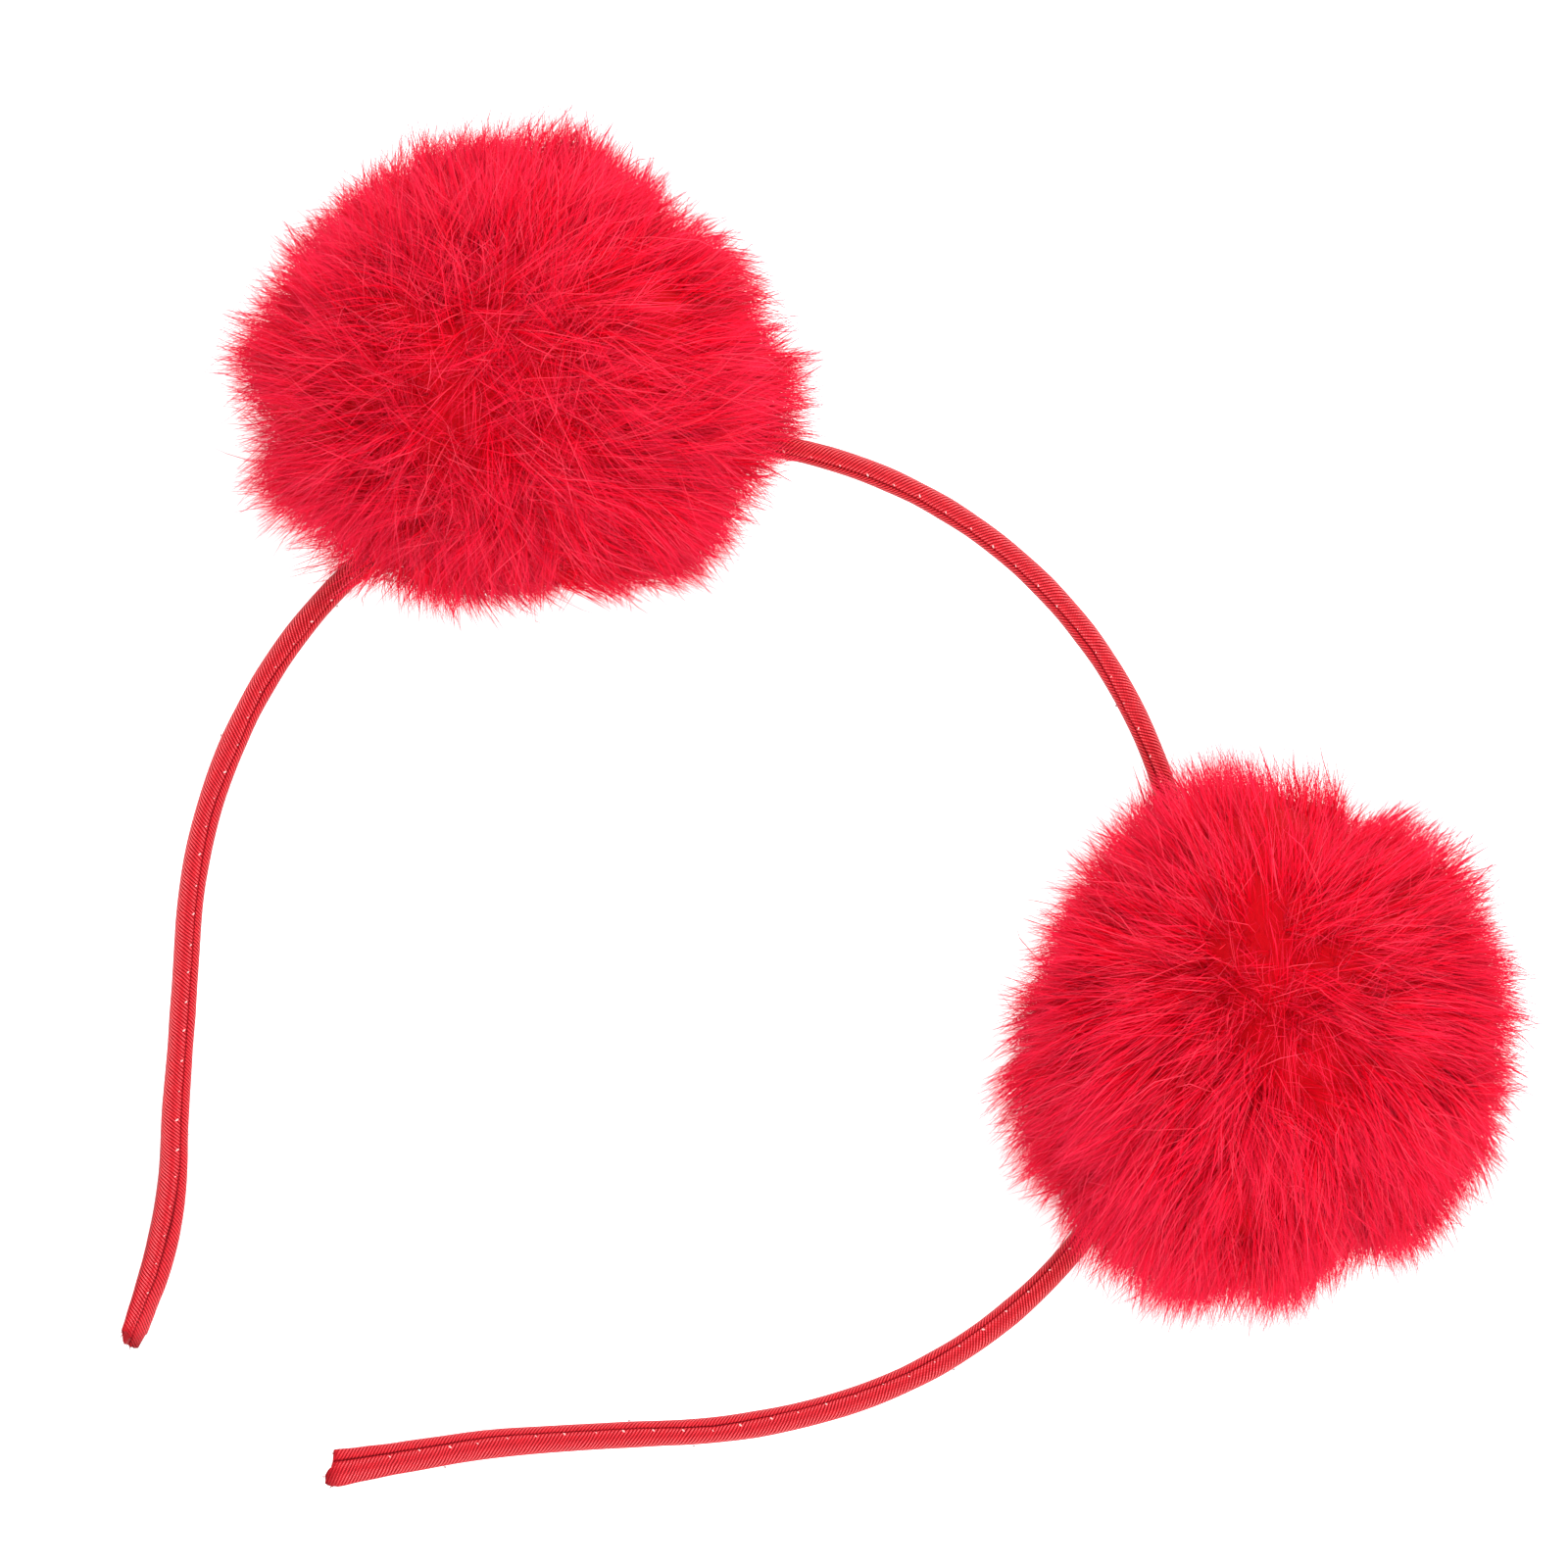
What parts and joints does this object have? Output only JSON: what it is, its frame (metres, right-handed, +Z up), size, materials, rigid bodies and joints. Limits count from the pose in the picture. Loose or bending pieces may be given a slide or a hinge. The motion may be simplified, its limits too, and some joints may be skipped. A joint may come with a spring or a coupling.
{
  "type": "pompom headband",
  "caption": "Thin satin-covered headband hoop with a large fur pompom on each side of the crown, lying flat.",
  "frame": {"origin": "on the surface that the headband lies on, under the middle of its box", "axes": "+Z up from the surface, +X from the left pompom to the right one, +Y from the open ends towards the crown"},
  "size_m": [0.193, 0.158, 0.0646],
  "materials": {
    "satin": "red twill-backed satin ribbon, soft sheen",
    "fur": "deep red long-haired fur, dull with bright tips"
  },
  "bodies": {
    "root": {"satin_hoop": "satin", "pompom_left": "fur", "pompom_right": "fur"}
  },
  "joints": []
}
